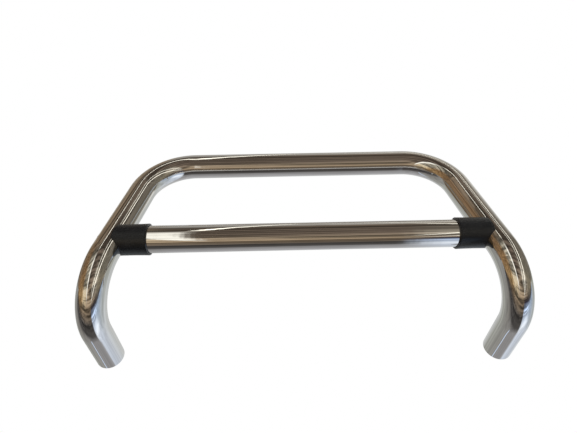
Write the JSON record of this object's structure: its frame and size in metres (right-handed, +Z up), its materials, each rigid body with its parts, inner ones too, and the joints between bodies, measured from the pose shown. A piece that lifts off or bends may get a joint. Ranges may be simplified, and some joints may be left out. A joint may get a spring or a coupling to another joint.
{
  "type": "front grille guard",
  "caption": "Polished tube hoop with a level cross tube in black joint sleeves, guarding a vehicle's grille from two legs that bolt to brackets behind the bumper.",
  "frame": {"origin": "midway between the centres of the two leg ends, in the plane of their end faces, where the vehicle's brackets hold the guard", "axes": "+Z up; +Y back towards the vehicle, along the legs; +X to the right as seen from in front of the vehicle"},
  "size_m": [0.9916, 0.2704, 0.4955],
  "materials": {
    "polished_tube": "polished",
    "black_rubber": "satin",
    "cast_saddle": "satin",
    "welded_steel": "satin",
    "zinc_plate": "satin",
    "black_plastic": "satin"
  },
  "bodies": {
    "root": {"hoop_tube": "polished_tube", "cross_tube": "polished_tube", "joint_sleeve_left": "black_rubber", "joint_sleeve_right": "black_rubber", "joint_saddle_left": "cast_saddle", "joint_saddle_right": "cast_saddle", "cross_end_plug_left": "welded_steel", "cross_end_plug_right": "welded_steel", "cross_end_nut_left": "welded_steel", "cross_end_nut_right": "welded_steel", "joint_bolt_left": "zinc_plate", "joint_bolt_right": "zinc_plate", "joint_spring_washer_left": "zinc_plate", "joint_spring_washer_right": "zinc_plate", "joint_saddle_washer_left": "zinc_plate", "joint_saddle_washer_right": "zinc_plate", "access_plug_left": "black_plastic", "access_plug_right": "black_plastic", "leg_end_plate_left": "welded_steel", "leg_end_plate_right": "welded_steel", "leg_nut_upper_left": "welded_steel", "leg_nut_upper_right": "welded_steel", "leg_nut_lower_left": "welded_steel", "leg_nut_lower_right": "welded_steel"}
  },
  "joints": []
}
